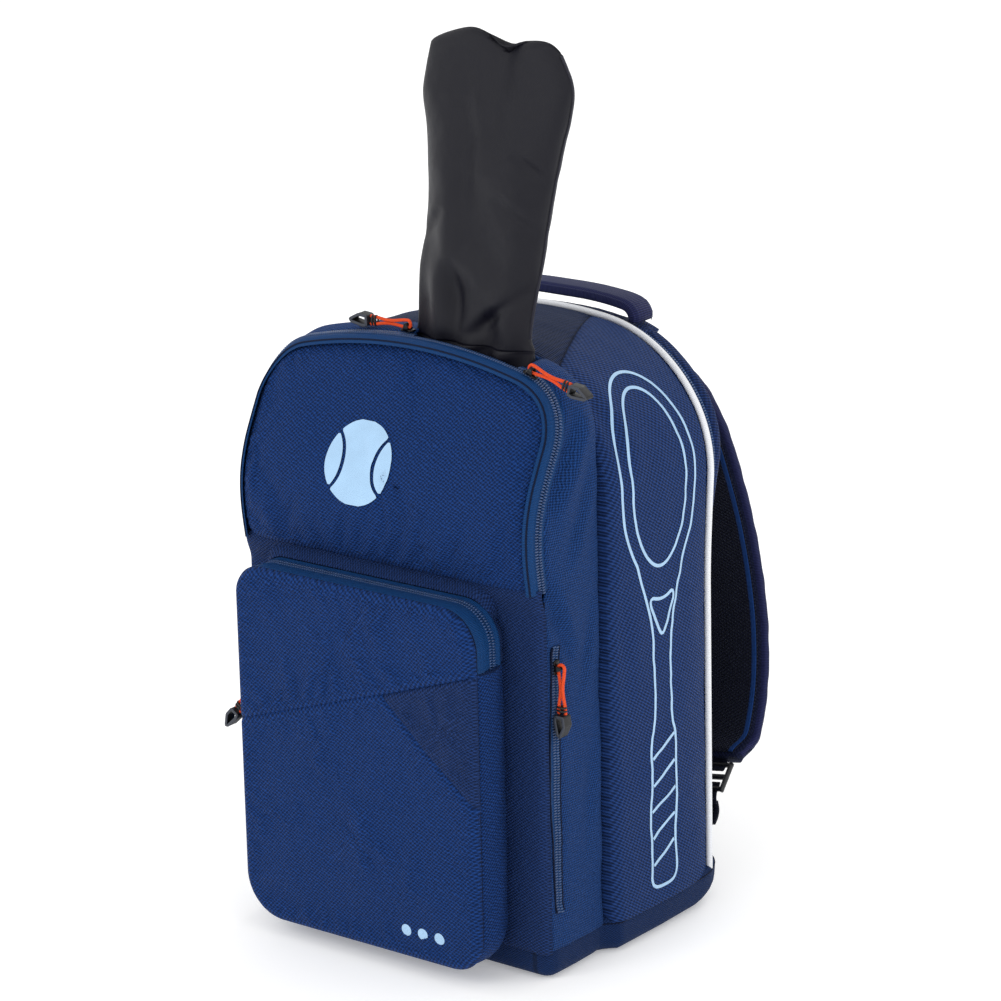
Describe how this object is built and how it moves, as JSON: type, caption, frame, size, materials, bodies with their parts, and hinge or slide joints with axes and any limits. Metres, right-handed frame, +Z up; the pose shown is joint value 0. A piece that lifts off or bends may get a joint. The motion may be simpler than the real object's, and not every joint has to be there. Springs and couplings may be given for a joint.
{
  "type": "racket backpack",
  "caption": "Arched two-compartment racket backpack with zipped front pocket, handle sleeve, grab handle and two padded shoulder straps.",
  "frame": {"origin": "centre of the whole object's box in X and Y, at the base it stands on", "axes": "+Z up along the height, +X the bag's width towards its right side as seen from the front, -Y the front pocket's side"},
  "size_m": [0.3202, 0.364, 0.714],
  "materials": {
    "twill": "polyester twill, slightly raised ribs",
    "dobby": "polyester dobby weave, matt",
    "dark_twill": "fine dark twill",
    "ribbed": "fine ribbed weave",
    "mesh_lining": "spacer mesh",
    "lining": "thin lining",
    "base_cloth": "plain coated cloth",
    "zip_tape": "woven zip tape with coil teeth",
    "piping": "pale reflective piping",
    "print": "flexible printed film",
    "sleeve_cloth": "light coated nylon, soft sheen",
    "webbing": "woven webbing",
    "buckle": "moulded acetal",
    "slider_metal": "black lacquer",
    "cord": "braided cord",
    "pull_tab": "folded soft rubberised tab"
  },
  "bodies": {
    "bag": {"base_tray": "base_cloth", "main_side_left": "twill", "main_side_right": "twill", "main_top_panel": "ribbed", "rear_piping": "piping", "main_zip_tape": "zip_tape", "rear_band": "twill", "back_panel": "mesh_lining", "back_pads": "mesh_lining", "divider": "mesh_lining", "racket_side_left": "twill", "racket_side_right": "twill", "racket_top": "twill", "lower_front_panel": "dark_twill", "racket_zip_fixed": "zip_tape", "side_linings": "lining", "side_zip_left": "zip_tape", "side_zip_right": "zip_tape", "side_prints": "print", "pocket_gusset": "dobby", "pocket_face_lower": "dobby", "pocket_inset": "dark_twill", "pocket_mark": "print", "pocket_zip_fixed": "zip_tape", "handle_anchors": "webbing", "sleeve_collar": "sleeve_cloth", "strap_roots": "twill", "strap_tabs": "webbing"},
    "racket_panel": {"racket_panel": "dobby", "racket_zip_moving": "zip_tape", "panel_emblem": "print"},
    "pocket_flap": {"pocket_flap": "dobby", "pocket_zip_moving": "zip_tape"},
    "handle_sleeve": {"handle_sleeve": "sleeve_cloth"},
    "grab_handle": {"grab_handle": "twill"},
    "strap_left": {"strap_pad_left": "twill", "strap_lining_left": "mesh_lining", "strap_lock_left": "buckle", "strap_web_left": "webbing"},
    "strap_right": {"strap_pad_right": "twill", "strap_lining_right": "mesh_lining", "strap_lock_right": "buckle", "strap_web_right": "webbing"},
    "racket_slider_left": {"racket_slider_left": "slider_metal"},
    "racket_pull_left": {"racket_cord_left": "cord", "racket_tab_left": "pull_tab"},
    "racket_slider_right": {"racket_slider_right": "slider_metal"},
    "racket_pull_right": {"racket_cord_right": "cord", "racket_tab_right": "pull_tab"},
    "pocket_slider": {"pocket_slider": "slider_metal"},
    "pocket_pull": {"pocket_cord": "cord", "pocket_tab": "pull_tab"},
    "side_slider_left": {"side_slider_left": "slider_metal"},
    "side_pull_left": {"side_cord_left": "cord", "side_tab_left": "pull_tab"},
    "side_slider_right": {"side_slider_right": "slider_metal"},
    "side_pull_right": {"side_cord_right": "cord", "side_tab_right": "pull_tab"},
    "main_slider": {"main_slider": "slider_metal"},
    "main_pull": {"main_tab": "pull_tab"}
  },
  "joints": [
    {"name": "racket_panel_fold", "type": "hinge", "parent": "bag", "child": "racket_panel", "pos_m": [0, -0.14201, 0.306], "axis": [1, 0, 0], "range_deg": [0, 80]},
    {"name": "pocket_flap_fold", "type": "hinge", "parent": "bag", "child": "pocket_flap", "pos_m": [0, -0.182, 0.215], "axis": [0.9479, 0, 0.3187], "range_deg": [0, 100]},
    {"name": "sleeve_fold", "type": "hinge", "parent": "bag", "child": "handle_sleeve", "pos_m": [0, -0.097, 0.486], "axis": [1, 0, 0], "range_deg": [0, 70]},
    {"name": "grab_handle_swing", "type": "hinge", "parent": "bag", "child": "grab_handle", "pos_m": [0, 0.089, 0.467], "axis": [1, 0, 0], "range_deg": [-30, 22]},
    {"name": "strap_swing_left", "type": "hinge", "parent": "bag", "child": "strap_left", "pos_m": [-0.12116, 0.101, 0.06476], "axis": [-0.1599, -0.0054, -0.9871], "range_deg": [-20, 20]},
    {"name": "strap_swing_right", "type": "hinge", "parent": "bag", "child": "strap_right", "pos_m": [0.12116, 0.101, 0.06476], "axis": [-0.1599, 0.0054, 0.9871], "range_deg": [-20, 20]},
    {"name": "racket_zip_run_left", "type": "hinge", "parent": "bag", "child": "racket_slider_left", "pos_m": [0.00079, -0.28143, 0.16894], "axis": [0.0028, -0.8573, 0.5149], "range_deg": [0, 10.8]},
    {"name": "racket_pull_left", "type": "hinge", "parent": "racket_slider_left", "child": "racket_pull_left", "pos_m": [-0.01219, -0.09476, 0.48643], "axis": [0, 1, 0], "range_deg": [0, 80]},
    {"name": "racket_zip_run_right", "type": "hinge", "parent": "bag", "child": "racket_slider_right", "pos_m": [0.08483, -0.11895, 0.41556], "axis": [0.1032, 0.9351, -0.3391], "range_deg": [0, 51.7]},
    {"name": "racket_pull_right", "type": "hinge", "parent": "racket_slider_right", "child": "racket_pull_right", "pos_m": [0.11195, -0.10372, 0.47116], "axis": [0, -1, 0], "range_deg": [-10, 100]},
    {"name": "pocket_zip_run", "type": "slide", "parent": "bag", "child": "pocket_slider", "axis": [0, 0, 1], "range_m": [0, 0.056]},
    {"name": "pocket_pull", "type": "hinge", "parent": "pocket_slider", "child": "pocket_pull", "pos_m": [-0.1232, -0.1576, 0.199], "axis": [0, 1, 0], "range_deg": [-35, 115]},
    {"name": "side_zip_run_left", "type": "slide", "parent": "bag", "child": "side_slider_left", "axis": [0, 0, -1], "range_m": [0, 0.185]},
    {"name": "side_pull_left", "type": "hinge", "parent": "side_slider_left", "child": "side_pull_left", "pos_m": [-0.1486, -0.124, 0.25], "axis": [0, 1, 0], "range_deg": [0, 150]},
    {"name": "side_zip_run_right", "type": "slide", "parent": "bag", "child": "side_slider_right", "axis": [0, 0, -1], "range_m": [0, 0.185]},
    {"name": "side_pull_right", "type": "hinge", "parent": "side_slider_right", "child": "side_pull_right", "pos_m": [0.1486, -0.124, 0.25], "axis": [0, -1, 0], "range_deg": [0, 150]},
    {"name": "main_zip_run", "type": "hinge", "parent": "bag", "child": "main_slider", "pos_m": [-0.04, 0.0765, 0.35521], "axis": [0, -1, 0], "range_deg": [0, 40]},
    {"name": "main_pull", "type": "hinge", "parent": "main_slider", "child": "main_pull", "pos_m": [-0.0978, 0.0765, 0.45532], "axis": [0, 1, 0], "range_deg": [0, 110]}
  ]
}
